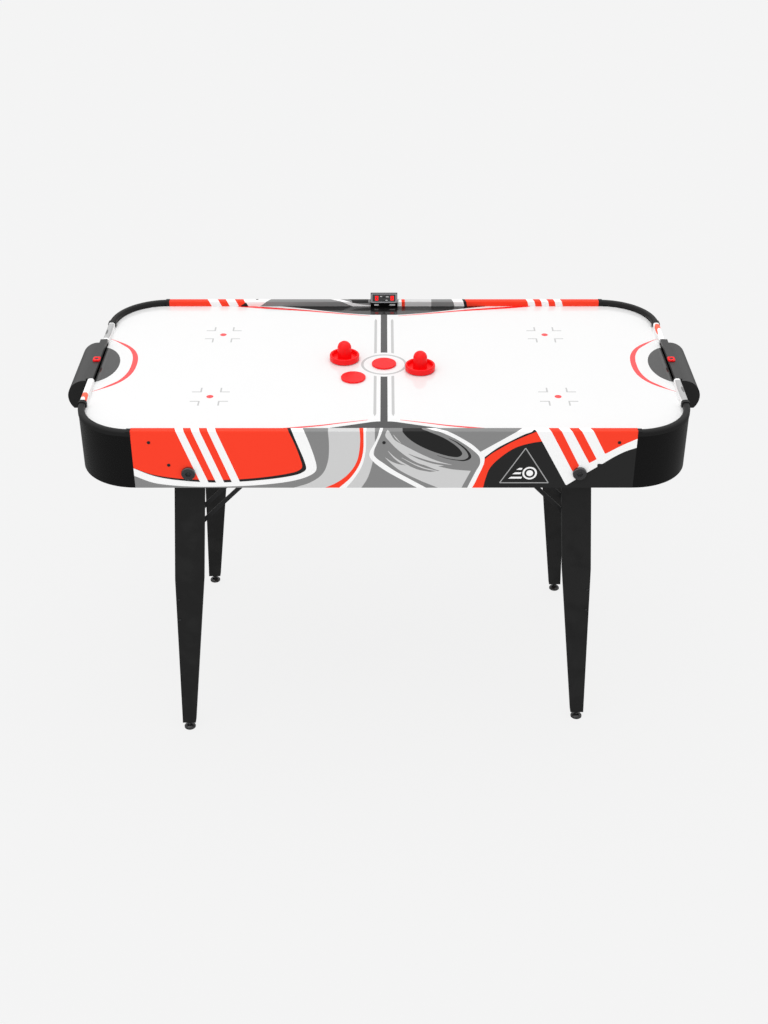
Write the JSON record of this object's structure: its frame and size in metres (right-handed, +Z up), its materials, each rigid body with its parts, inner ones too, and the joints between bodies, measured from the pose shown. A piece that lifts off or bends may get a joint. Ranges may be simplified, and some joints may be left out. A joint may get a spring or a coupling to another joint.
{
  "type": "air hockey table",
  "caption": "Free-standing air hockey table with rounded corners, a goal catcher at each end, a rail-mounted scorer, loose pushers and pucks, and four folding legs with twin-bar braces.",
  "frame": {"origin": "on the floor below the centre of the table", "axes": "+X along the table to the right-hand goal, +Y across it to the back apron with the scorer, +Z up"},
  "size_m": [1.374, 0.672, 0.833],
  "materials": {
    "printed_board": "white laminate with a printed graphic, satin",
    "playfield": "white gloss laminate with printed lines",
    "black_board": "black laminate, satin",
    "leg_board": "black laminate, matt",
    "black_plastic": "moulded, satin",
    "goal_plastic": "moulded, satin, dark grey",
    "white_plastic": "gloss",
    "grey_plastic": "gloss",
    "red_plastic": "moulded, semi-gloss",
    "dark_lens": "clear dark window",
    "hardboard": "raw hardboard and pine",
    "black_steel": "powder coated",
    "bright_steel": "zinc plated",
    "foot_plastic": "black gloss",
    "felt": "felt"
  },
  "bodies": {
    "table": {"front_apron": "printed_board", "back_apron": "printed_board", "playfield_board": "playfield", "left_end_board": "black_board", "right_end_board": "black_board", "front_left_corner_panel": "black_plastic", "front_right_corner_panel": "black_plastic", "back_left_corner_panel": "black_plastic", "back_right_corner_panel": "black_plastic", "corner_trims": "black_plastic", "apron_clips": "black_plastic", "rail_collars": "black_plastic", "blower_housing": "black_plastic", "blower_grille": "black_plastic", "power_box": "black_plastic", "power_jack": "black_plastic", "scorer_housing": "black_plastic", "left_goal_hood": "goal_plastic", "right_goal_hood": "goal_plastic", "left_goal_tray": "goal_plastic", "right_goal_tray": "goal_plastic", "end_rails": "white_plastic", "scorer_bezel": "grey_plastic", "goal_sensor_bezels": "red_plastic", "scorer_lens": "dark_lens", "goal_sensor_lenses": "dark_lens", "bottom_panel": "hardboard", "plenum_frame": "hardboard", "brace_tracks": "black_steel", "leg_spacers": "black_steel", "pivot_bolts": "black_steel", "apron_screws": "black_steel", "blower_motor": "bright_steel"},
    "front_left_leg": {"front_left_leg": "leg_board", "front_left_leg_fasteners": "bright_steel"},
    "front_left_brace": {"front_left_brace": "black_steel"},
    "front_left_foot": {"front_left_foot": "foot_plastic"},
    "front_right_leg": {"front_right_leg": "leg_board", "front_right_leg_fasteners": "bright_steel"},
    "front_right_brace": {"front_right_brace": "black_steel"},
    "front_right_foot": {"front_right_foot": "foot_plastic"},
    "back_left_leg": {"back_left_leg": "leg_board", "back_left_leg_fasteners": "bright_steel"},
    "back_left_brace": {"back_left_brace": "black_steel"},
    "back_left_foot": {"back_left_foot": "foot_plastic"},
    "back_right_leg": {"back_right_leg": "leg_board", "back_right_leg_fasteners": "bright_steel"},
    "back_right_brace": {"back_right_brace": "black_steel"},
    "back_right_foot": {"back_right_foot": "foot_plastic"},
    "left_pusher": {"left_pusher": "red_plastic", "left_pusher_felt": "felt"},
    "right_pusher": {"right_pusher": "red_plastic", "right_pusher_felt": "felt"},
    "left_puck": {"left_puck": "red_plastic"},
    "centre_puck": {"centre_puck": "red_plastic"},
    "fan": {"fan_impeller": "black_plastic"},
    "rocker": {"power_rocker": "black_plastic"},
    "lower_button": {"scorer_lower_button": "black_plastic"},
    "upper_button": {"scorer_upper_button": "black_plastic"}
  },
  "joints": [
    {"name": "front_left_leg_fold", "type": "hinge", "parent": "table", "child": "front_left_leg", "pos_m": [-0.403, -0.3, 0.702], "axis": [0, -1, 0], "range_deg": [0, 94.05]},
    {"name": "front_left_brace_turn", "type": "hinge", "parent": "front_left_leg", "child": "front_left_brace", "pos_m": [-0.4, -0.3, 0.55863], "axis": [0, 1, 0], "range_deg": [0, 137.36]},
    {"name": "front_left_foot_screw", "type": "slide", "parent": "front_left_leg", "child": "front_left_foot", "axis": [0, 0, -1], "range_m": [0, 0.012]},
    {"name": "front_right_leg_fold", "type": "hinge", "parent": "table", "child": "front_right_leg", "pos_m": [0.403, -0.262, 0.702], "axis": [0, 1, 0], "range_deg": [0, 94.05]},
    {"name": "front_right_brace_turn", "type": "hinge", "parent": "front_right_leg", "child": "front_right_brace", "pos_m": [0.4, -0.262, 0.55863], "axis": [0, -1, 0], "range_deg": [0, 137.36]},
    {"name": "front_right_foot_screw", "type": "slide", "parent": "front_right_leg", "child": "front_right_foot", "axis": [0, 0, -1], "range_m": [0, 0.012]},
    {"name": "back_left_leg_fold", "type": "hinge", "parent": "table", "child": "back_left_leg", "pos_m": [-0.403, 0.3, 0.702], "axis": [0, -1, 0], "range_deg": [0, 94.05]},
    {"name": "back_left_brace_turn", "type": "hinge", "parent": "back_left_leg", "child": "back_left_brace", "pos_m": [-0.4, 0.3, 0.55863], "axis": [0, 1, 0], "range_deg": [0, 137.36]},
    {"name": "back_left_foot_screw", "type": "slide", "parent": "back_left_leg", "child": "back_left_foot", "axis": [0, 0, -1], "range_m": [0, 0.012]},
    {"name": "back_right_leg_fold", "type": "hinge", "parent": "table", "child": "back_right_leg", "pos_m": [0.403, 0.262, 0.702], "axis": [0, 1, 0], "range_deg": [0, 94.05]},
    {"name": "back_right_brace_turn", "type": "hinge", "parent": "back_right_leg", "child": "back_right_brace", "pos_m": [0.4, 0.262, 0.55863], "axis": [0, -1, 0], "range_deg": [0, 137.36]},
    {"name": "back_right_foot_screw", "type": "slide", "parent": "back_right_leg", "child": "back_right_foot", "axis": [0, 0, -1], "range_m": [0, 0.012]},
    {"name": "left_pusher_slide", "type": "slide", "parent": "table", "child": "left_pusher", "axis": [-1, 0, 0], "range_m": [0, 0.45]},
    {"name": "right_pusher_slide", "type": "slide", "parent": "table", "child": "right_pusher", "axis": [1, 0, 0], "range_m": [0, 0.45]},
    {"name": "left_puck_slide", "type": "slide", "parent": "table", "child": "left_puck", "axis": [-1, 0, 0], "range_m": [0, 0.49]},
    {"name": "centre_puck_slide", "type": "slide", "parent": "table", "child": "centre_puck", "axis": [0, 1, 0], "range_m": [-0.25, 0.25]},
    {"name": "fan_spin", "type": "hinge", "parent": "table", "child": "fan", "pos_m": [0, 0, 0.7], "axis": [0, 0, 1], "continuous": true},
    {"name": "rocker_tilt", "type": "hinge", "parent": "table", "child": "rocker", "pos_m": [0.136, 0.15, 0.721], "axis": [0, -1, 0], "range_deg": [0, 16]},
    {"name": "lower_button_press", "type": "slide", "parent": "table", "child": "lower_button", "axis": [0, 0.6571, -0.7538], "range_m": [0, 0.001], "stiffness_N_per_m": 300},
    {"name": "upper_button_press", "type": "slide", "parent": "table", "child": "upper_button", "axis": [0, 0.6571, -0.7538], "range_m": [0, 0.001], "stiffness_N_per_m": 300}
  ],
  "couplings": [
    {"joint": "front_left_brace_turn", "follows": "front_left_leg_fold", "ratio": 1.4604},
    {"joint": "front_right_brace_turn", "follows": "front_right_leg_fold", "ratio": 1.4604},
    {"joint": "back_left_brace_turn", "follows": "back_left_leg_fold", "ratio": 1.4604},
    {"joint": "back_right_brace_turn", "follows": "back_right_leg_fold", "ratio": 1.4604}
  ]
}
